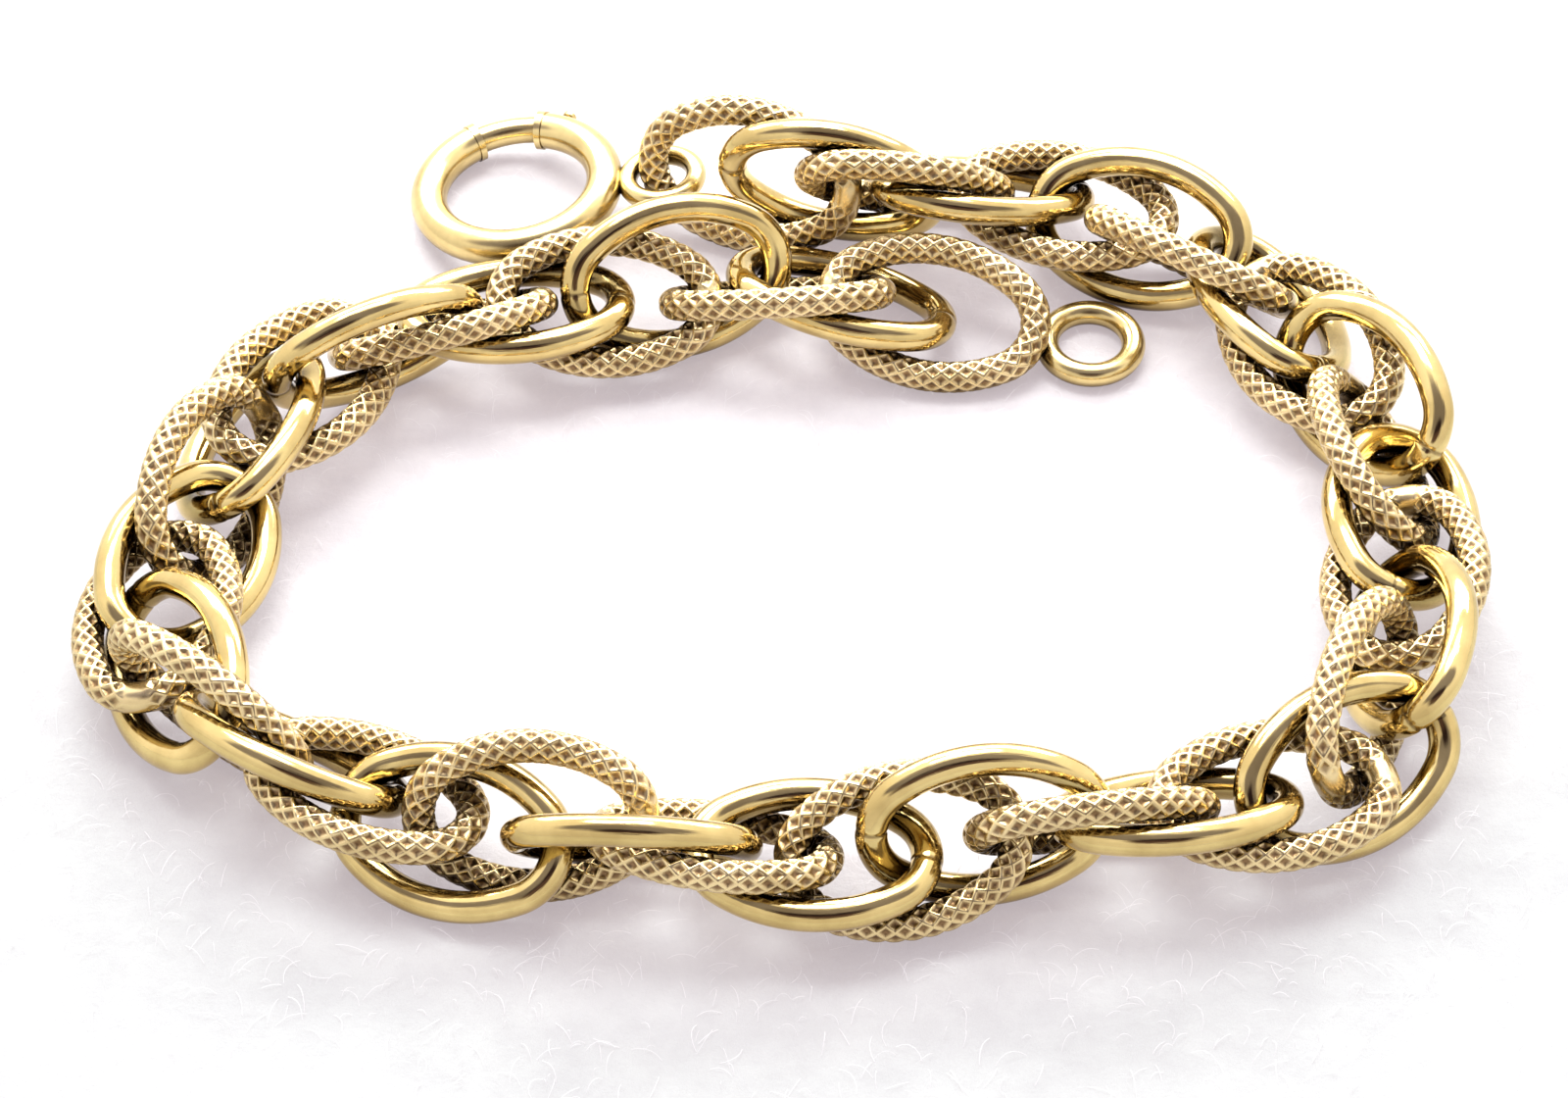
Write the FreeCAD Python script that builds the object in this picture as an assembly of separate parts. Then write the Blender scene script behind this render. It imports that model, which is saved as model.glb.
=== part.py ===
import FreeCAD, Part
import math
import os

os.makedirs("parts", exist_ok=True)

# Pocket watch chain laid in a loop on a flat surface. Millimetres, +Z up, z = 0 is the surface it lies on,
# the origin is the middle of the footprint.

# ---- driving dimensions -------------------------------------------------------------------------------
LINK_LENGTH = 11.5        # every link, outside, end to end
LINK_WIDTH = 7.9          # every link, outside, across
SMOOTH_WIRE = 1.46        # wire of the polished links
TEXTURED_WIRE = 1.50      # wire of the diamond textured links, over the crests
END_RADIUS = 2.45         # centreline radius of the two link ends

RING_RADIUS = 4.4         # bolt ring, centreline
RING_TUBE = 0.90          # bolt ring, outside radius of the tube
RING_BORE = 0.74          # bolt ring, inside radius of the tube
COLLAR_TUBE = 0.97        # thicker lips on both sides of the opening
COLLAR_DEG = 5.0
EXIT_DEG = 80.0           # the bolt leaves the tube here, measured round from the eye
SOCKET_DEG = 120.0        # the bolt enters the tube again here
SOCKET_DEPTH_DEG = 6.0
BORE_END_DEG = -78.0      # blind end of the bore, the spring stands on it
BOLT_RADIUS = 0.66
BOLT_TAIL_DEG = 10.0
BOLT_TIP_DEG = 123.5
KNOB_DEG = 66.0
KNOB_STEM = 0.17
SLOT_FROM_DEG = 19.0
SLOT_TO_DEG = 69.5
SLOT_WIDTH = 0.52
SPRING_WIRE = 0.07
SPRING_COIL = 0.53
SPRING_TURNS = 15
EYE_RADIUS = 1.70
EYE_WIRE = 0.50
EYE_REACH = 7.25          # from the middle of the bolt ring to the middle of its eye

END_RING_RADIUS = 2.09
END_RING_WIRE = 0.58

# Where every piece lies. One row per link, from the clasp to the free end: middle, long axis, width axis.
LINKS = [
    ( -1.6639,  19.4887,  3.6484,   0.94952, -0.31042,  0.04536,   0.09785,  0.43045,  0.89730),  # 1
    (  2.4283,  18.6981,  4.0212,   0.97611, -0.10874, -0.18813,   0.17824, -0.09453,  0.97944),  # 2
    (  5.9071,  18.5723,  3.9263,   0.87652,  0.23067, -0.42250,   0.48026, -0.47870,  0.73499),  # 3
    (  9.6807,  19.0071,  3.0189,   0.95910,  0.17302, -0.22405,   0.25520, -0.87098,  0.41985),  # 4
    ( 13.6702,  18.2235,  2.8015,   0.94729, -0.32035,  0.00321,  -0.31985, -0.94629, -0.04715),  # 5
    ( 17.2628,  16.7414,  2.6775,   0.92535, -0.37820,  0.02627,  -0.28869, -0.74788, -0.59778),  # 6
    ( 19.6497,  13.9963,  3.2140,   0.84843, -0.52873, -0.02459,   0.32261,  0.55340, -0.76790),  # 7
    ( 23.2810,  12.0443,  2.2174,   0.36219, -0.92982,  0.06518,   0.84459,  0.29780, -0.44496),  # 8
    ( 25.0274,   8.7805,  2.9214,   0.47318, -0.88096,  0.00276,   0.84064,  0.45245,  0.29767),  # 9
    ( 27.2595,   5.6042,  3.1886,   0.53384, -0.84477,  0.03722,   0.53697,  0.37267,  0.75682),  # 10
    ( 27.4545,   1.0620,  3.1277,   0.19911, -0.97878,  0.04849,  -0.66764, -0.09926,  0.73783),  # 11
    ( 28.5340,  -2.1243,  2.7988,  -0.14429, -0.98723,  0.06753,  -0.93753,  0.15822,  0.30984),  # 12
    ( 28.3388,  -6.1687,  3.0636,  -0.12331, -0.99144,  0.04291,  -0.96059,  0.10839, -0.25597),  # 13
    ( 28.0804, -10.3239,  3.4610,  -0.00130, -0.98496,  0.17277,  -0.69060, -0.12407, -0.71252),  # 14
    ( 25.8183, -13.7894,  3.7195,  -0.38752, -0.92182,  0.00921,   0.34351, -0.15367, -0.92649),  # 15
    ( 24.9434, -17.0964,  2.8165,  -0.84450, -0.53416, -0.03861,   0.43213, -0.63706, -0.63829),  # 16
    ( 21.5512, -18.8685,  3.0409,  -0.97440, -0.22277,  0.03033,   0.22079, -0.97361, -0.05782),  # 17
    ( 17.1253, -19.9518,  3.2643,  -0.98515, -0.16750,  0.03777,   0.16380, -0.85084,  0.49924),  # 18
    ( 13.4545, -20.7400,  3.5755,  -0.98259, -0.17636,  0.05840,   0.13468, -0.45966,  0.87783),  # 19
    (  8.7690, -21.0561,  3.7057,  -0.99248, -0.12135,  0.01600,  -0.03230,  0.38568,  0.92207),  # 20
    (  5.2050, -21.9092,  3.0081,  -0.98272, -0.14869, -0.11025,  -0.18511,  0.79278,  0.58072),  # 21
    (  1.2229, -22.0522,  2.9238,  -0.99762,  0.06864, -0.00609,   0.06817,  0.99595,  0.05858),  # 22
    ( -3.0722, -21.6586,  2.9985,  -0.98987,  0.13889,  0.02945,   0.10700,  0.86612, -0.48825),  # 23
    ( -6.6474, -21.8051,  3.5180,  -0.99836,  0.01435,  0.05537,  -0.04047,  0.50684, -0.86109),  # 24
    (-11.0714, -20.3445,  3.4367,  -0.99345,  0.07833, -0.08325,   0.02521, -0.56023, -0.82795),  # 25
    (-14.6081, -20.4293,  2.4117,  -0.92885,  0.36402, -0.06882,  -0.28214, -0.81546, -0.50539),  # 26
    (-18.3957, -18.4762,  2.9324,  -0.90424,  0.42571,  0.03349,  -0.41078, -0.88859,  0.20415),  # 27
    (-21.7464, -16.5896,  3.1459,  -0.90625,  0.37951,  0.18622,  -0.17146, -0.73263,  0.65867),  # 28
    (-25.4771, -14.4392,  3.9489,  -0.80240,  0.57437,  0.16200,   0.02083, -0.24433,  0.96947),  # 29
    (-27.3366, -11.6301,  3.0342,  -0.40725,  0.90828, -0.09583,   0.64880,  0.36155,  0.66958),  # 30
    (-28.4497,  -8.2960,  2.8629,   0.07636,  0.99644, -0.03581,   0.98142, -0.06877,  0.17914),  # 31
    (-27.3192,  -4.7994,  2.8259,   0.39206,  0.91991, -0.00763,   0.86033, -0.36958, -0.35106),  # 32
    (-26.4801,  -0.6757,  3.4590,   0.35153,  0.93452,  0.05567,   0.51889, -0.14500, -0.84245),  # 33
    (-25.0328,   3.0806,  2.6347,   0.22848,  0.97135, -0.06533,  -0.80985,  0.15239, -0.56650),  # 34
    (-22.7473,   5.7749,  3.1807,   0.55821,  0.82957, -0.01464,  -0.81884,  0.55366,  0.15152),  # 35
    (-19.3896,   7.6226,  3.8624,   0.88339,  0.46666, -0.04302,   0.15256, -0.19957,  0.96794),  # 36
    (-16.2946,   9.7160,  2.9208,   0.93001,  0.36723, -0.01521,   0.28073, -0.68300,  0.67432),  # 37
    (-12.8517,  11.1576,  2.7274,   0.99643,  0.07997,  0.02703,   0.07311, -0.97762,  0.19728),  # 38
    ( -8.6036,  11.6904,  2.7819,   0.99968,  0.01255, -0.02215,   0.00397, -0.93625, -0.35131),  # 39
    ( -5.1742,  12.9658,  3.2181,   0.95706,  0.28915,  0.02067,   0.20006, -0.60722, -0.76893),  # 40
    ( -0.2998,  11.8279,  2.8828,   0.99837,  0.04489,  0.03526,  -0.01040,  0.75052, -0.66077),  # 41
    (  2.7572,  12.6658,  2.0305,   0.95572, -0.27479, -0.10530,   0.22006,  0.90495, -0.36421),  # 42
    (  7.1578,  11.5419,  2.1764,   0.98083, -0.17465, -0.08648,   0.19487,  0.88511,  0.42263),  # 43
]
CASE_MIDDLE = (-13.2004, 20.7085, 1.5503)
CASE_TO_EYE = (0.99097, -0.03221, 0.13019)
CASE_NORMAL = (-0.12793, 0.06440, 0.98969)
END_RING_MIDDLE = (14.7750, 10.9960, 0.5830)

V = FreeCAD.Vector


def frame(middle, x, y):
    """Rigid move from the piece's own frame to where it lies."""
    x = V(*x)
    x.normalize()
    y = V(*y)
    y = y - x * x.dot(y)
    y.normalize()
    z = x.cross(y)
    return FreeCAD.Matrix(x.x, y.x, z.x, middle[0], x.y, y.y, z.y, middle[1], x.z, y.z, z.z, middle[2], 0, 0, 0, 1)


def placed(shape, matrix):
    out = shape.copy()
    out.transformShape(matrix)
    return out


def bend(cx, cy, radius, wire, start_deg, sweep_deg):
    """Round wire bent along an arc in the XY plane."""
    a = math.radians(start_deg)
    point = V(cx + radius * math.cos(a), cy + radius * math.sin(a), 0)
    along = V(-math.sin(a), math.cos(a), 0)
    disc = Part.Face(Part.Wire(Part.makeCircle(wire, point, along)))
    return disc.revolve(V(cx, cy, 0), V(0, 0, 1), sweep_deg)


def oval_link(wire_diameter):
    """Oval link of round wire: two tight ends and two shallow sides, all tangent."""
    a = (LINK_LENGTH - wire_diameter) / 2
    b = (LINK_WIDTH - wire_diameter) / 2
    e = END_RADIUS
    side = ((a - e) ** 2 + b ** 2 - e ** 2) / (2 * (b - e))
    th = math.degrees(math.atan2(a - e, side - b))
    r = wire_diameter / 2
    pieces = [
        bend(a - e, 0, e, r, -(90 - th), 2 * (90 - th)),
        bend(0, -(side - b), side, r, 90 - th, 2 * th),
        bend(-(a - e), 0, e, r, 90 + th, 2 * (90 - th)),
        bend(0, side - b, side, r, 270 - th, 2 * th),
    ]
    link = pieces[0].fuse(pieces[1:]).removeSplitter()
    return link.Solids[0]


def write(shape, name):
    solids = shape.Solids
    solid = max(solids, key=lambda s: s.Volume)
    solid.exportStep("parts/%s.step" % name)


# ---- links --------------------------------------------------------------------------------------------
smooth = oval_link(SMOOTH_WIRE)
textured = oval_link(TEXTURED_WIRE)
end_link = None
for n, row in enumerate(LINKS, 1):
    is_textured = n % 2 == 1
    where = frame(row[0:3], row[3:6], row[6:9])
    link = placed(textured if is_textured else smooth, where)
    write(link, "link_%02d_%s" % (n, "textured" if is_textured else "smooth"))
    end_link = link

# ---- end ring, soldered to the last link --------------------------------------------------------------
end_ring = Part.makeTorus(END_RING_RADIUS, END_RING_WIRE, V(*END_RING_MIDDLE), V(0, 0, 1))
write(end_ring.cut(end_link), "end_ring")

# ---- bolt ring: hollow tube with an opening, a slot for the knob and a socket for the bolt ----------------
case_at = frame(CASE_MIDDLE, CASE_TO_EYE, V(*CASE_NORMAL).cross(V(*CASE_TO_EYE)))
case = bend(0, 0, RING_RADIUS, RING_TUBE, SOCKET_DEG, 360 - (SOCKET_DEG - EXIT_DEG))
case = case.fuse([
    bend(0, 0, RING_RADIUS, COLLAR_TUBE, EXIT_DEG - COLLAR_DEG, COLLAR_DEG),
    bend(0, 0, RING_RADIUS, COLLAR_TUBE, SOCKET_DEG, COLLAR_DEG),
])
bore = bend(0, 0, RING_RADIUS, RING_BORE, BORE_END_DEG, EXIT_DEG + 1 - BORE_END_DEG)
socket = bend(0, 0, RING_RADIUS, RING_BORE, SOCKET_DEG - 1, SOCKET_DEPTH_DEG + 1)
slot_profile = Part.makePolygon([
    V(RING_RADIUS + 0.2, 0, -SLOT_WIDTH / 2), V(RING_RADIUS + 1.2, 0, -SLOT_WIDTH / 2),
    V(RING_RADIUS + 1.2, 0, SLOT_WIDTH / 2), V(RING_RADIUS + 0.2, 0, SLOT_WIDTH / 2),
    V(RING_RADIUS + 0.2, 0, -SLOT_WIDTH / 2)])
slot = Part.Face(slot_profile).revolve(V(0, 0, 0), V(0, 0, 1), SLOT_TO_DEG - SLOT_FROM_DEG)
slot.rotate(V(0, 0, 0), V(0, 0, 1), SLOT_FROM_DEG)
case = case.cut(bore).cut(socket).cut(slot)

bolt = bend(0, 0, RING_RADIUS, BOLT_RADIUS, BOLT_TAIL_DEG, BOLT_TIP_DEG - BOLT_TAIL_DEG)
knob_way = V(math.cos(math.radians(KNOB_DEG)), math.sin(math.radians(KNOB_DEG)), 0)
stem = Part.makeCylinder(KNOB_STEM, 0.6, knob_way * (RING_RADIUS + 0.45), knob_way)
head = Part.makeCylinder(0.36, 0.34, knob_way * (RING_RADIUS + 1.02), knob_way)
head = head.makeFillet(0.1, [ed for ed in head.Edges if ed.Curve.TypeId == "Part::GeomCircle"])
knob = stem.fuse(head).cut(bolt).removeSplitter()

# the knob's foot is cut to the bolt, so the two meet on one surface
eye = Part.makeTorus(EYE_RADIUS, EYE_WIRE, V(EYE_REACH, 0, 0), V(0, 0, 1))
eye = eye.cut(bend(0, 0, RING_RADIUS, RING_TUBE, -60, 120))

# ---- spring: a fine coil that follows the curve of the bore behind the bolt ------------------------------
spring_from = math.radians(BORE_END_DEG + 2.0)
spring_to = math.radians(BOLT_TAIL_DEG - 2.0)
steps = SPRING_TURNS * 8
points = []
for i in range(steps + 1):
    u = i / steps
    a = spring_from + (spring_to - spring_from) * u
    turn = 2 * math.pi * SPRING_TURNS * u
    rr = RING_RADIUS + SPRING_COIL * math.cos(turn)
    points.append(V(rr * math.cos(a), rr * math.sin(a), SPRING_COIL * math.sin(turn)))
curve = Part.BSplineCurve()
curve.interpolate(points)
spine = Part.Wire(curve.toShape())
start_along = curve.tangent(curve.FirstParameter)[0]
section = Part.Wire(Part.makeCircle(SPRING_WIRE, points[0], start_along))
spring = spine.makePipeShell([section], True, True)

for shape, name in ((case, "bolt_ring_case"), (bolt, "bolt_ring_bolt"), (knob, "bolt_ring_knob"),
                    (eye, "bolt_ring_eye"), (spring, "bolt_ring_spring")):
    write(placed(shape, case_at), name)
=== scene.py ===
import math

import bpy
import numpy as np
from mathutils import Matrix, Vector


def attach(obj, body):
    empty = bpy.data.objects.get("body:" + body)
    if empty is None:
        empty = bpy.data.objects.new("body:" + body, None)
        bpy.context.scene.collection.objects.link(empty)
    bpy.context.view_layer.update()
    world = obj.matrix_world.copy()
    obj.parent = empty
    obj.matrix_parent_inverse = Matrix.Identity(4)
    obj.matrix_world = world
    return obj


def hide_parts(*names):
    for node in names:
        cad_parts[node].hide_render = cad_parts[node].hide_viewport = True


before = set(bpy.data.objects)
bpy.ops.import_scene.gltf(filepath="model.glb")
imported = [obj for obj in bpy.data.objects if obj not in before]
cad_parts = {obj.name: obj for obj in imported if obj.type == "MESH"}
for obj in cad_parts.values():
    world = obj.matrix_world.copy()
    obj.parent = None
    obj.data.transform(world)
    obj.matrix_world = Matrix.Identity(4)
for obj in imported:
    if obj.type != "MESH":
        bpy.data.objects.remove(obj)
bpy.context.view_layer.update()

MM = 0.001

# ---- the chain's own sizes, in millimetres -----------------------------------------------------------
LINK_LENGTH = 11.5
LINK_WIDTH = 7.9
SMOOTH_WIRE = 1.46
TEXTURED_WIRE = 1.50
END_RADIUS = 2.45
DIAMONDS_ALONG = 33
DIAMONDS_ROUND = 6
RELIEF = 0.15

# middle, long axis, width axis of every link, from the clasp to the free end
LINKS = [
    ( -1.6639,  19.4887,  3.6484,   0.94952, -0.31042,  0.04536,   0.09785,  0.43045,  0.89730),  # 1
    (  2.4283,  18.6981,  4.0212,   0.97611, -0.10874, -0.18813,   0.17824, -0.09453,  0.97944),  # 2
    (  5.9071,  18.5723,  3.9263,   0.87652,  0.23067, -0.42250,   0.48026, -0.47870,  0.73499),  # 3
    (  9.6807,  19.0071,  3.0189,   0.95910,  0.17302, -0.22405,   0.25520, -0.87098,  0.41985),  # 4
    ( 13.6702,  18.2235,  2.8015,   0.94729, -0.32035,  0.00321,  -0.31985, -0.94629, -0.04715),  # 5
    ( 17.2628,  16.7414,  2.6775,   0.92535, -0.37820,  0.02627,  -0.28869, -0.74788, -0.59778),  # 6
    ( 19.6497,  13.9963,  3.2140,   0.84843, -0.52873, -0.02459,   0.32261,  0.55340, -0.76790),  # 7
    ( 23.2810,  12.0443,  2.2174,   0.36219, -0.92982,  0.06518,   0.84459,  0.29780, -0.44496),  # 8
    ( 25.0274,   8.7805,  2.9214,   0.47318, -0.88096,  0.00276,   0.84064,  0.45245,  0.29767),  # 9
    ( 27.2595,   5.6042,  3.1886,   0.53384, -0.84477,  0.03722,   0.53697,  0.37267,  0.75682),  # 10
    ( 27.4545,   1.0620,  3.1277,   0.19911, -0.97878,  0.04849,  -0.66764, -0.09926,  0.73783),  # 11
    ( 28.5340,  -2.1243,  2.7988,  -0.14429, -0.98723,  0.06753,  -0.93753,  0.15822,  0.30984),  # 12
    ( 28.3388,  -6.1687,  3.0636,  -0.12331, -0.99144,  0.04291,  -0.96059,  0.10839, -0.25597),  # 13
    ( 28.0804, -10.3239,  3.4610,  -0.00130, -0.98496,  0.17277,  -0.69060, -0.12407, -0.71252),  # 14
    ( 25.8183, -13.7894,  3.7195,  -0.38752, -0.92182,  0.00921,   0.34351, -0.15367, -0.92649),  # 15
    ( 24.9434, -17.0964,  2.8165,  -0.84450, -0.53416, -0.03861,   0.43213, -0.63706, -0.63829),  # 16
    ( 21.5512, -18.8685,  3.0409,  -0.97440, -0.22277,  0.03033,   0.22079, -0.97361, -0.05782),  # 17
    ( 17.1253, -19.9518,  3.2643,  -0.98515, -0.16750,  0.03777,   0.16380, -0.85084,  0.49924),  # 18
    ( 13.4545, -20.7400,  3.5755,  -0.98259, -0.17636,  0.05840,   0.13468, -0.45966,  0.87783),  # 19
    (  8.7690, -21.0561,  3.7057,  -0.99248, -0.12135,  0.01600,  -0.03230,  0.38568,  0.92207),  # 20
    (  5.2050, -21.9092,  3.0081,  -0.98272, -0.14869, -0.11025,  -0.18511,  0.79278,  0.58072),  # 21
    (  1.2229, -22.0522,  2.9238,  -0.99762,  0.06864, -0.00609,   0.06817,  0.99595,  0.05858),  # 22
    ( -3.0722, -21.6586,  2.9985,  -0.98987,  0.13889,  0.02945,   0.10700,  0.86612, -0.48825),  # 23
    ( -6.6474, -21.8051,  3.5180,  -0.99836,  0.01435,  0.05537,  -0.04047,  0.50684, -0.86109),  # 24
    (-11.0714, -20.3445,  3.4367,  -0.99345,  0.07833, -0.08325,   0.02521, -0.56023, -0.82795),  # 25
    (-14.6081, -20.4293,  2.4117,  -0.92885,  0.36402, -0.06882,  -0.28214, -0.81546, -0.50539),  # 26
    (-18.3957, -18.4762,  2.9324,  -0.90424,  0.42571,  0.03349,  -0.41078, -0.88859,  0.20415),  # 27
    (-21.7464, -16.5896,  3.1459,  -0.90625,  0.37951,  0.18622,  -0.17146, -0.73263,  0.65867),  # 28
    (-25.4771, -14.4392,  3.9489,  -0.80240,  0.57437,  0.16200,   0.02083, -0.24433,  0.96947),  # 29
    (-27.3366, -11.6301,  3.0342,  -0.40725,  0.90828, -0.09583,   0.64880,  0.36155,  0.66958),  # 30
    (-28.4497,  -8.2960,  2.8629,   0.07636,  0.99644, -0.03581,   0.98142, -0.06877,  0.17914),  # 31
    (-27.3192,  -4.7994,  2.8259,   0.39206,  0.91991, -0.00763,   0.86033, -0.36958, -0.35106),  # 32
    (-26.4801,  -0.6757,  3.4590,   0.35153,  0.93452,  0.05567,   0.51889, -0.14500, -0.84245),  # 33
    (-25.0328,   3.0806,  2.6347,   0.22848,  0.97135, -0.06533,  -0.80985,  0.15239, -0.56650),  # 34
    (-22.7473,   5.7749,  3.1807,   0.55821,  0.82957, -0.01464,  -0.81884,  0.55366,  0.15152),  # 35
    (-19.3896,   7.6226,  3.8624,   0.88339,  0.46666, -0.04302,   0.15256, -0.19957,  0.96794),  # 36
    (-16.2946,   9.7160,  2.9208,   0.93001,  0.36723, -0.01521,   0.28073, -0.68300,  0.67432),  # 37
    (-12.8517,  11.1576,  2.7274,   0.99643,  0.07997,  0.02703,   0.07311, -0.97762,  0.19728),  # 38
    ( -8.6036,  11.6904,  2.7819,   0.99968,  0.01255, -0.02215,   0.00397, -0.93625, -0.35131),  # 39
    ( -5.1742,  12.9658,  3.2181,   0.95706,  0.28915,  0.02067,   0.20006, -0.60722, -0.76893),  # 40
    ( -0.2998,  11.8279,  2.8828,   0.99837,  0.04489,  0.03526,  -0.01040,  0.75052, -0.66077),  # 41
    (  2.7572,  12.6658,  2.0305,   0.95572, -0.27479, -0.10530,   0.22006,  0.90495, -0.36421),  # 42
    (  7.1578,  11.5419,  2.1764,   0.98083, -0.17465, -0.08648,   0.19487,  0.88511,  0.42263),  # 43
]
CASE_MIDDLE = (-13.2004, 20.7085, 1.5503)
CASE_TO_EYE = (0.99097, -0.03221, 0.13019)
CASE_NORMAL = (-0.12793, 0.06440, 0.98969)
END_RING_MIDDLE = (14.7750, 10.9960, 0.5830)


# ---- geometry ------------------------------------------------------------------------------------------
def oval(d):
    """Function of s in 0..1: point and outward direction on the link's four-arc centreline."""
    a = (LINK_LENGTH - d) / 2
    b = (LINK_WIDTH - d) / 2
    e = END_RADIUS
    side = ((a - e) ** 2 + b ** 2 - e ** 2) / (2 * (b - e))
    th = math.atan2(a - e, side - b)
    half_end = math.pi / 2 - th
    l_end = 2 * half_end * e
    l_side = 2 * th * side
    total = 2 * (l_end + l_side)
    arcs = ((l_end, a - e, 0, e, -half_end), (l_side, 0, b - side, side, math.pi / 2 - th),
            (l_end, -(a - e), 0, e, math.pi - half_end), (l_side, 0, side - b, side, -math.pi / 2 - th))

    def at(s):
        q = (s % 1.0) * total + l_end / 2
        q %= total
        for length, cx, cy, r, start in arcs:
            if q <= length:
                ang = start + q / r
                return cx + r * math.cos(ang), cy + r * math.sin(ang), math.cos(ang), math.sin(ang)
            q -= length
        ang = arcs[0][4]
        return arcs[0][1] + e * math.cos(ang), e * math.sin(ang), math.cos(ang), math.sin(ang)

    return at, total


def tube(name, d, nu, nv, height, attribute, closed_at=None):
    """Closed tube on the oval. height(s, v) is the offset from the round wire in mm, attribute(s, v) a stored 0..1 value."""
    at, total = oval(d)
    verts, vals = [], []
    for i in range(nu):
        s = i / nu
        x, y, nx, ny = at(s)
        for j in range(nv):
            v = j / nv
            ang = 2 * math.pi * v
            r = d / 2 + height(s, v)
            verts.append(((x + r * math.cos(ang) * nx) * MM, (y + r * math.cos(ang) * ny) * MM, r * math.sin(ang) * MM))
            vals.append(attribute(s, v))
    faces = []
    for i in range(nu):
        i2 = (i + 1) % nu
        for j in range(nv):
            j2 = (j + 1) % nv
            a, b, c, e = i * nv + j, i2 * nv + j, i2 * nv + j2, i * nv + j2
            if (i + j) % 2 == 0:
                faces += [(a, b, c), (a, c, e)]
            else:
                faces += [(a, b, e), (b, c, e)]
    mesh = bpy.data.meshes.new(name)
    mesh.from_pydata(verts, [], faces)
    mesh.update()
    layer = mesh.attributes.new("relief", "FLOAT", "POINT")
    layer.data.foreach_set("value", vals)
    uv = mesh.uv_layers.new(name="along_wire")
    index = np.empty(len(mesh.loops), dtype=np.int64)
    mesh.loops.foreach_get("vertex_index", index)
    tri = index.reshape(-1, 3)
    ui, vi = tri // nv, tri % nv
    ui = np.where((ui == 0) & (ui.max(axis=1, keepdims=True) == nu - 1), nu, ui)
    vi = np.where((vi == 0) & (vi.max(axis=1, keepdims=True) == nv - 1), nv, vi)
    uv.data.foreach_set("uv", np.stack([ui / nu, vi / nv], axis=-1).reshape(-1))
    for p in mesh.polygons:
        p.use_smooth = True
    return mesh


def wrap(x):
    return abs(x - round(x))


def smoothstep(a, b, x):
    t = min(1.0, max(0.0, (x - a) / (b - a)))
    return t * t * (3 - 2 * t)


def diamond(s, v):
    """0 on the raised lines, 1 in the middle of a diamond."""
    u = s * DIAMONDS_ALONG
    w = v * DIAMONDS_ROUND
    return min(wrap((u + w) / 1.0), wrap((u - w) / 1.0)) * 2


def wear(s):
    """1 where the pattern is full, less at the soldered end."""
    d = min(abs(s - 0.0), abs(s - 1.0))
    return smoothstep(0.012, 0.04, d)


def textured_height(s, v):
    return -RELIEF * wear(s) * smoothstep(0.08, 0.78, diamond(s, v)) - 0.04 * (1 - wear(s))


def textured_value(s, v):
    return 1.0 - smoothstep(0.20, 0.58, diamond(s, v)) * wear(s)


def seam(s, at=0.5, width=0.012):
    d = min(abs(s - at), 1 - abs(s - at))
    return math.exp(-(d / width) ** 2)


def smooth_height(s, v):
    return -0.006 - 0.05 * seam(s, 0.010, 0.0045) * (0.7 + 0.3 * math.cos(2 * math.pi * (v - 0.2)))


def smooth_value(s, v):
    return 1.0 - 0.85 * seam(s, 0.010, 0.0035)


nu_t = DIAMONDS_ALONG * 12
nv_t = DIAMONDS_ROUND * 12
textured_mesh = tube("textured_link", TEXTURED_WIRE, nu_t, nv_t, textured_height, textured_value)
smooth_mesh = tube("smooth_link", SMOOTH_WIRE, 360, 48, smooth_height, smooth_value)


# ---- materials ------------------------------------------------------------------------------------------
def new_material(name):
    m = bpy.data.materials.new(name)
    m.use_nodes = True
    nt = m.node_tree
    return m, nt, nt.nodes["Principled BSDF"]


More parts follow.
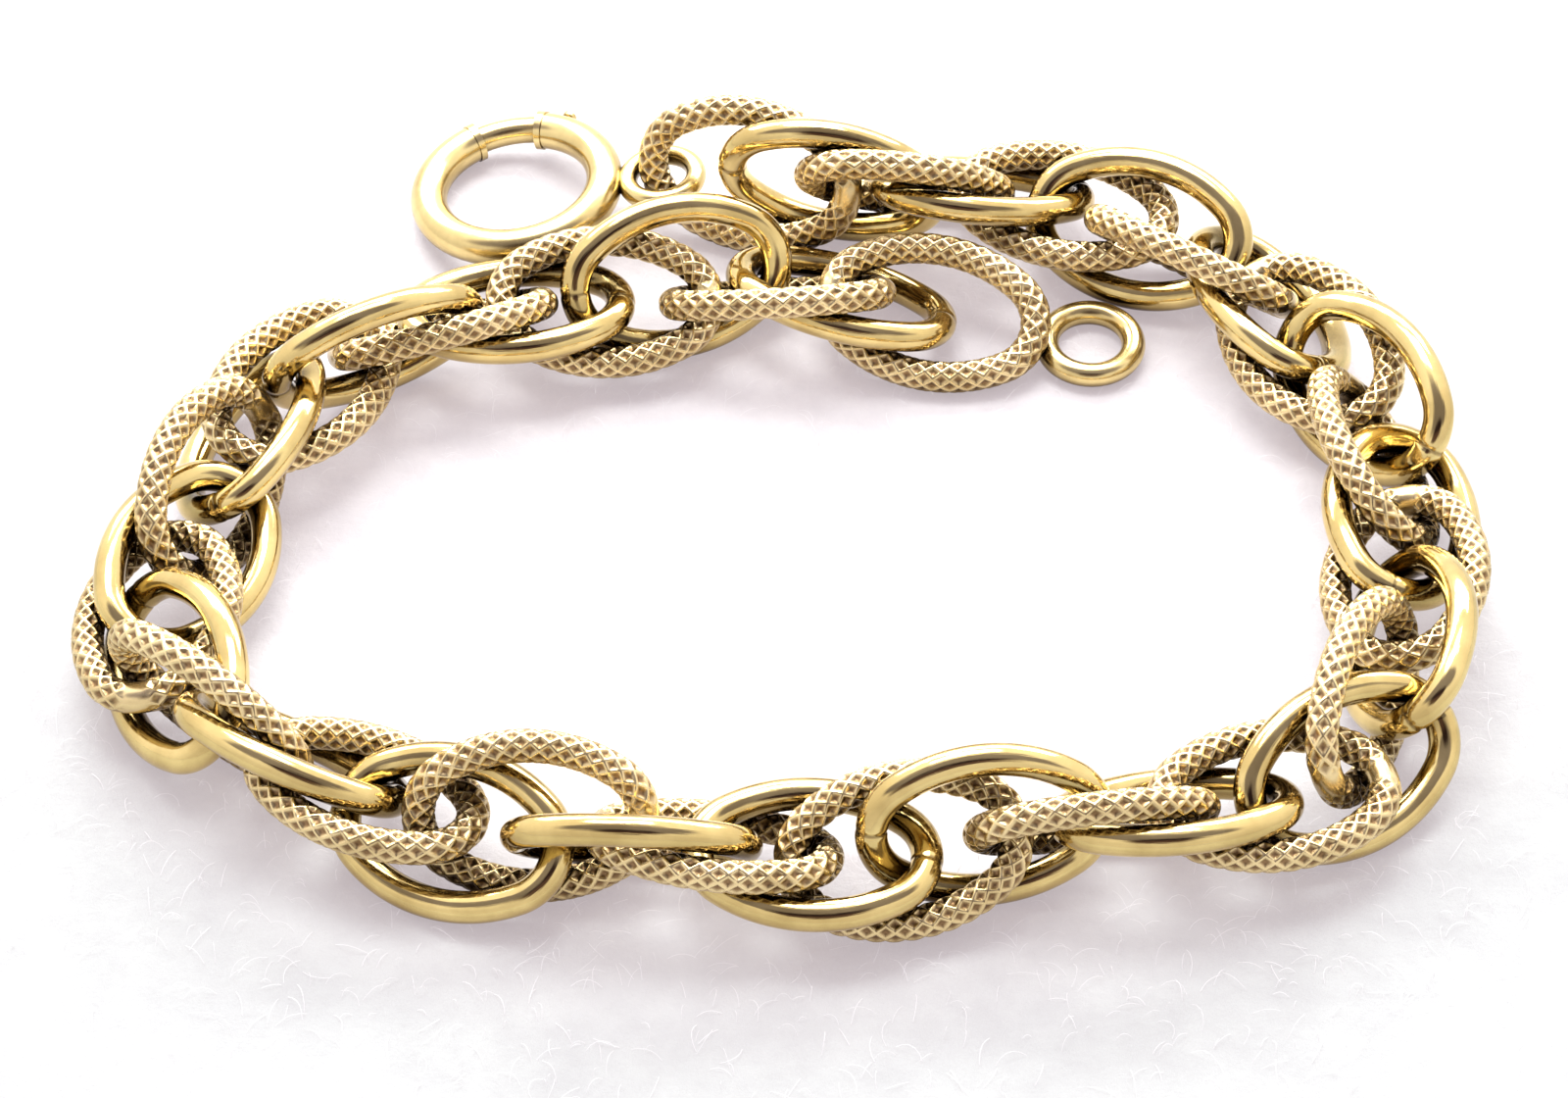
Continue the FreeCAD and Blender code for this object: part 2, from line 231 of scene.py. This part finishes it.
def gold(name, bright, dark, rough, rough_dark, relief_ramp, cloud_scale=160.0, cloud_mix=0.25, scratch=0.15, streak=0.0):
    m, nt, bsdf = new_material(name)
    N, L = nt.nodes, nt.links
    coord = N.new("ShaderNodeTexCoord")
    info = N.new("ShaderNodeObjectInfo")
    shift = N.new("ShaderNodeVectorMath"); shift.operation = "SCALE"
    shift.inputs[0].default_value = (0.37, 0.61, 0.83)
    L.new(info.outputs["Random"], shift.inputs["Scale"])
    add = N.new("ShaderNodeVectorMath"); add.operation = "ADD"
    L.new(coord.outputs["Object"], add.inputs[0])
    L.new(shift.outputs[0], add.inputs[1])
    cloud = N.new("ShaderNodeTexNoise")
    cloud.inputs["Scale"].default_value = cloud_scale * 2.2
    cloud.inputs["Detail"].default_value = 5
    L.new(add.outputs[0], cloud.inputs["Vector"])
    attr = N.new("ShaderNodeAttribute"); attr.attribute_name = "relief"
    ramp = N.new("ShaderNodeValToRGB")
    ramp.color_ramp.elements[0].position = relief_ramp[0]
    ramp.color_ramp.elements[0].color = (0, 0, 0, 1)
    ramp.color_ramp.elements[1].position = relief_ramp[1]
    ramp.color_ramp.elements[1].color = (1, 1, 1, 1)
    if relief_ramp[2]:
        L.new(attr.outputs["Fac"], ramp.inputs[0])
    else:
        ramp.inputs[0].default_value = 1.0
    base = N.new("ShaderNodeMix"); base.data_type = "RGBA"
    base.inputs["A"].default_value = (*dark, 1)
    base.inputs["B"].default_value = (*bright, 1)
    L.new(ramp.outputs["Color"], base.inputs["Factor"])
    cr = N.new("ShaderNodeValToRGB")
    cr.color_ramp.elements[0].position = 0.38
    cr.color_ramp.elements[0].color = (1 - cloud_mix, 1 - cloud_mix * 1.12, 1 - cloud_mix * 1.35, 1)
    cr.color_ramp.elements[1].position = 0.62
    cr.color_ramp.elements[1].color = (1, 1, 1, 1)
    L.new(cloud.outputs["Fac"], cr.inputs[0])
    mul = N.new("ShaderNodeMix"); mul.data_type = "RGBA"; mul.blend_type = "MULTIPLY"
    mul.inputs["Factor"].default_value = 1.0
    L.new(base.outputs["Result"], mul.inputs["A"])
    L.new(cr.outputs["Color"], mul.inputs["B"])
    # painted shade: ambient occlusion darkens the base colour in crevices, where links touch and on their lower sides
    # near the floor, standing in for the shade and dark reflections there
    ao = N.new("ShaderNodeAmbientOcclusion")
    ao.samples = 6
    ao.inputs["Distance"].default_value = 0.0024
    recess_shade_ramp = N.new("ShaderNodeValToRGB")
    recess_shade_ramp.color_ramp.elements[0].position = 0.18
    recess_shade_ramp.color_ramp.elements[0].color = (0.06, 0.038, 0.016, 1)
    recess_shade_ramp.color_ramp.elements[1].position = 0.74
    recess_shade_ramp.color_ramp.elements[1].color = (1, 1, 1, 1)
    L.new(ao.outputs["AO"], recess_shade_ramp.inputs[0])
    painted_recess_shade = N.new("ShaderNodeMix"); painted_recess_shade.data_type = "RGBA"; painted_recess_shade.blend_type = "MULTIPLY"
    painted_recess_shade.inputs["Factor"].default_value = 1.0
    L.new(mul.outputs["Result"], painted_recess_shade.inputs["A"])
    L.new(recess_shade_ramp.outputs["Color"], painted_recess_shade.inputs["B"])
    L.new(painted_recess_shade.outputs["Result"], bsdf.inputs["Base Color"])
    bsdf.inputs["Metallic"].default_value = 1.0
    rr = N.new("ShaderNodeMapRange")
    rr.inputs["To Min"].default_value = rough_dark
    rr.inputs["To Max"].default_value = rough
    if relief_ramp[2]:
        L.new(attr.outputs["Fac"], rr.inputs["Value"])
    else:
        L.new(cloud.outputs["Fac"], rr.inputs["Value"])
    L.new(rr.outputs["Result"], bsdf.inputs["Roughness"])
    fine = N.new("ShaderNodeTexNoise")
    fine.inputs["Scale"].default_value = 1400.0
    fine.inputs["Detail"].default_value = 4
    fine.inputs["Roughness"].default_value = 0.6
    L.new(add.outputs[0], fine.inputs["Vector"])
    bump = N.new("ShaderNodeBump")
    bump.inputs["Strength"].default_value = scratch
    bump.inputs["Distance"].default_value = 0.00003
    L.new(fine.outputs["Fac"], bump.inputs["Height"])
    if streak:
        stretch = N.new("ShaderNodeMapping")
        stretch.inputs["Scale"].default_value = (14.0, 46.0, 1.0)
        L.new(coord.outputs["UV"], stretch.inputs["Vector"])
        lines = N.new("ShaderNodeTexNoise")
        lines.inputs["Scale"].default_value = 1.0
        lines.inputs["Detail"].default_value = 3
        L.new(stretch.outputs["Vector"], lines.inputs["Vector"])
        bump2 = N.new("ShaderNodeBump")
        bump2.inputs["Strength"].default_value = streak
        bump2.inputs["Distance"].default_value = 0.00004
        L.new(lines.outputs["Fac"], bump2.inputs["Height"])
        L.new(bump.outputs["Normal"], bump2.inputs["Normal"])
        L.new(bump2.outputs["Normal"], bsdf.inputs["Normal"])
    else:
        L.new(bump.outputs["Normal"], bsdf.inputs["Normal"])
    return m


textured_gold = gold("textured_gold_look", (0.89, 0.715, 0.385), (0.32, 0.20, 0.10), 0.26, 0.42, (0.0, 1.0, True), scratch=0.25)
smooth_gold = gold("polished_gold_look", (0.75, 0.58, 0.245), (0.15, 0.09, 0.04), 0.09, 0.20, (0.0, 0.8, True), scratch=0.08, streak=0.2)
clasp_gold = gold("clasp_gold_look", (0.78, 0.615, 0.28), (0.4, 0.26, 0.1), 0.16, 0.28, (0.0, 0.5, False), scratch=0.1)
spring_look = gold("spring_look", (0.5, 0.5, 0.5), (0.2, 0.2, 0.2), 0.3, 0.4, (0.0, 0.5, False))

textured_mesh.materials.append(textured_gold)
smooth_mesh.materials.append(smooth_gold)

# which links lie with the soldered end towards the clasp
SEAM_TO_CLASP = {2, 5, 6, 9, 11, 13, 16, 17, 19, 22, 25, 28, 29, 31, 34, 36, 37, 40, 43}
for n, row in enumerate(LINKS, 1):
    is_textured = n % 2 == 1
    node = "link_%02d_%s" % (n, "textured" if is_textured else "smooth")
    x = Vector(row[3:6]).normalized()
    y = Vector(row[6:9])
    y = (y - x * x.dot(y)).normalized()
    if n in SEAM_TO_CLASP:
        x, y = -x, -y
    z = x.cross(y)
    mat = Matrix(((x.x, y.x, z.x, row[0] * MM), (x.y, y.y, z.y, row[1] * MM), (x.z, y.z, z.z, row[2] * MM), (0, 0, 0, 1)))
    obj = bpy.data.objects.new("look_" + node, textured_mesh if is_textured else smooth_mesh)
    bpy.context.scene.collection.objects.link(obj)
    obj.matrix_world = mat
    bpy.context.view_layer.update()
    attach(obj, "link_%02d" % n)
    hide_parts(node)

for name in ("bolt_ring_case", "bolt_ring_bolt", "bolt_ring_knob", "bolt_ring_eye", "bolt_ring_spring", "end_ring"):
    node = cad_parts[name]
    look = spring_look if name == "bolt_ring_spring" else clasp_gold
    for k in range(len(node.material_slots)):
        node.material_slots[k].material = look

# ---- floor: white felt ------------------------------------------------------------------------------
bpy.ops.mesh.primitive_plane_add(size=6.0, location=(0, 0, -0.00002))
floor = bpy.context.object
floor.name = "floor"
fm, nt, bsdf = new_material("white_cloth")
bsdf.inputs["Roughness"].default_value = 0.95
# painted light: the cloth glows faintly lavender on top of what the lamps give it, so its shadows stay light and
# lavender-tinted
bsdf.inputs["Emission Color"].default_value = (0.430, 0.372, 0.388, 1)
bsdf.inputs["Emission Strength"].default_value = 1.0
coord = nt.nodes.new("ShaderNodeTexCoord")
felt = nt.nodes.new("ShaderNodeTexNoise")
felt.inputs["Scale"].default_value = 900.0
felt.inputs["Detail"].default_value = 8
felt.inputs["Roughness"].default_value = 0.7
nt.links.new(coord.outputs["Object"], felt.inputs["Vector"])
fb = nt.nodes.new("ShaderNodeBump")
fb.inputs["Strength"].default_value = 0.5
fb.inputs["Distance"].default_value = 0.0002
nt.links.new(felt.outputs["Fac"], fb.inputs["Height"])
nt.links.new(fb.outputs["Normal"], bsdf.inputs["Normal"])
mottle = nt.nodes.new("ShaderNodeTexNoise")
mottle.inputs["Scale"].default_value = 260.0
mottle.inputs["Detail"].default_value = 6
mottle.inputs["Roughness"].default_value = 0.65
nt.links.new(coord.outputs["Object"], mottle.inputs["Vector"])
mr = nt.nodes.new("ShaderNodeValToRGB")
mr.color_ramp.elements[0].position = 0.35
mr.color_ramp.elements[0].color = (0.345, 0.345, 0.355, 1)
mr.color_ramp.elements[1].position = 0.65
mr.color_ramp.elements[1].color = (0.42, 0.42, 0.425, 1)
nt.links.new(mottle.outputs["Fac"], mr.inputs[0])
# painted light falloff: the floor colour goes from white to a grey-green tone with distance from a point 12 mm behind
# the middle, standing in for the light dropping off towards the edges of the view
far = nt.nodes.new("ShaderNodeVectorMath"); far.operation = "LENGTH"
behind = nt.nodes.new("ShaderNodeVectorMath"); behind.operation = "SUBTRACT"
behind.inputs[1].default_value = (0, 0.012, 0)
nt.links.new(coord.outputs["Object"], behind.inputs[0])
nt.links.new(behind.outputs[0], far.inputs[0])
edge = nt.nodes.new("ShaderNodeMapRange")
edge.inputs["From Min"].default_value = 0.026
edge.inputs["From Max"].default_value = 0.044
edge.inputs["To Min"].default_value = 0.0
edge.inputs["To Max"].default_value = 1.0
nt.links.new(far.outputs["Value"], edge.inputs["Value"])
painted_falloff = nt.nodes.new("ShaderNodeValToRGB")
painted_falloff.color_ramp.elements[0].position = 0.0
painted_falloff.color_ramp.elements[0].color = (1, 1, 1, 1)
painted_falloff.color_ramp.elements[1].position = 1.0
painted_falloff.color_ramp.elements[1].color = (0.65, 0.73, 0.70, 1)
nt.links.new(edge.outputs["Result"], painted_falloff.inputs[0])
fall = nt.nodes.new("ShaderNodeVectorMath"); fall.operation = "MULTIPLY"
nt.links.new(mr.outputs["Color"], fall.inputs[0])
nt.links.new(painted_falloff.outputs["Color"], fall.inputs[1])
nt.links.new(fall.outputs[0], bsdf.inputs["Base Color"])
floor.data.materials.append(fm)

# short loose fibres of the felt
rng = np.random.default_rng(7)
fv, ff = [], []
for k in range(7000):
    px, py = rng.uniform(-0.050, 0.050), rng.uniform(-0.046, 0.050)
    a = rng.normal(1.2, 0.9)
    length = rng.uniform(0.0004, 0.0016)
    bend_by = rng.normal(0, 0.9)
    w = rng.uniform(0.000006, 0.000012)
    top = rng.uniform(0.0001, 0.00045)
    base_index = len(fv)
    steps = 5
    for i in range(steps + 1):
        t = i / steps
        ang = a + bend_by * t
        px += math.cos(ang) * length / steps
        py += math.sin(ang) * length / steps
        h = top * math.sin(math.pi * min(1.0, t * 0.9 + 0.05))
        sx, sy = -math.sin(ang) * w, math.cos(ang) * w
        fv += [(px + sx, py + sy, h), (px - sx, py - sy, h)]
        if i:
            b = base_index + 2 * i
            ff.append((b - 2, b - 1, b + 1, b))
fm2 = bpy.data.meshes.new("felt_fibres")
fm2.from_pydata(fv, [], ff)
fibres = bpy.data.objects.new("felt_fibres", fm2)
bpy.context.scene.collection.objects.link(fibres)
fmat, nt, bsdf = new_material("white_fibre")
bsdf.inputs["Base Color"].default_value = (0.50, 0.50, 0.51, 1)
# painted light: the fibres glow faintly, like the floor, so they stay bright inside the floor's shadows
bsdf.inputs["Emission Color"].default_value = (0.405, 0.360, 0.374, 1)
bsdf.inputs["Emission Strength"].default_value = 1.0
bsdf.inputs["Roughness"].default_value = 0.6
fm2.materials.append(fmat)

# ---- light -------------------------------------------------------------------------------------------
world = bpy.data.worlds.new("studio")
bpy.context.scene.world = world
world.use_nodes = True
wn, wl = world.node_tree.nodes, world.node_tree.links
bg = wn["Background"]
tc = wn.new("ShaderNodeTexCoord")


def lobe(direction, widen, edge_in, edge_out, inside, outside):
    """Colour ramp on the angle from a direction: inside the lobe one colour, outside the other."""
    squeeze = wn.new("ShaderNodeVectorMath"); squeeze.operation = "MULTIPLY"
    squeeze.inputs[1].default_value = (widen, 1.0, 1.0)
    wl.new(tc.outputs["Generated"], squeeze.inputs[0])
    unit = wn.new("ShaderNodeVectorMath"); unit.operation = "NORMALIZE"
    wl.new(squeeze.outputs[0], unit.inputs[0])
    dot = wn.new("ShaderNodeVectorMath"); dot.operation = "DOT_PRODUCT"
    dot.inputs[1].default_value = direction
    wl.new(unit.outputs[0], dot.inputs[0])
    ramp = wn.new("ShaderNodeValToRGB")
    ramp.color_ramp.elements[0].position = edge_out
    ramp.color_ramp.elements[0].color = outside
    ramp.color_ramp.elements[1].position = edge_in
    ramp.color_ramp.elements[1].color = inside
    wl.new(dot.outputs["Value"], ramp.inputs[0])
    return ramp.outputs["Color"]


def times(a, b):
    mix = wn.new("ShaderNodeMix"); mix.data_type = "RGBA"; mix.blend_type = "MULTIPLY"
    mix.inputs["Factor"].default_value = 1.0
    wl.new(a, mix.inputs["A"])
    wl.new(b, mix.inputs["B"])
    return mix.outputs["Result"]


AMBIENT = (1.0, 0.965, 0.985, 1)
grey = lobe((0.0, -0.342, 0.940), 0.46, 0.935, 0.885, (0.24, 0.225, 0.29, 1), AMBIENT)
dark = lobe((0.0, -0.700, 0.714), 0.70, 0.978, 0.945, (0.12, 0.08, 0.09, 1), (1, 1, 1, 1))
wl.new(times(grey, dark), bg.inputs["Color"])
back = wn.new("ShaderNodeVectorMath"); back.operation = "DOT_PRODUCT"
back.inputs[1].default_value = (0.0, 0.64, 0.77)
wl.new(tc.outputs["Generated"], back.inputs[0])
br = wn.new("ShaderNodeMapRange")
br.inputs["From Min"].default_value = -0.3
br.inputs["From Max"].default_value = 0.9
br.inputs["To Min"].default_value = 1.0
br.inputs["To Max"].default_value = 1.75
wl.new(back.outputs["Value"], br.inputs["Value"])
wl.new(br.outputs["Result"], bg.inputs["Strength"])


def area(name, loc, target, size, power, color=(1, 1, 1)):
    light = bpy.data.lights.new(name, "AREA")
    light.shape = "RECTANGLE"
    light.size, light.size_y = size
    light.energy = power
    light.color = color
    ob = bpy.data.objects.new(name, light)
    bpy.context.scene.collection.objects.link(ob)
    ob.location = loc
    ob.rotation_euler = (Vector(target) - Vector(loc)).to_track_quat("-Z", "Y").to_euler()
    return ob


area("key", (-0.04, 0.22, 0.55), (0, 0, 0), (0.36, 0.20), 2.6, (0.99, 1.0, 0.985))
area("back", (0.0, 0.135, 0.10), (0, 0.02, 0), (0.26, 0.06), 0.7, (1.0, 1.0, 0.98))

# ---- camera ------------------------------------------------------------------------------------------
cam_data = bpy.data.cameras.new("camera")
cam_data.sensor_width = 36.0
cam_data.lens = 36.0 * 5155.0 / 1600.0
cam_data.clip_start = 0.005
cam = bpy.data.objects.new("camera", cam_data)
bpy.context.scene.collection.objects.link(cam)
cam.location = (-0.000001, -0.158008, 0.176652)
cam.rotation_euler = (math.radians(90.0 - 48.5), 0, 0)
bpy.context.scene.camera = cam
bpy.context.scene.view_settings.view_transform = "Standard"
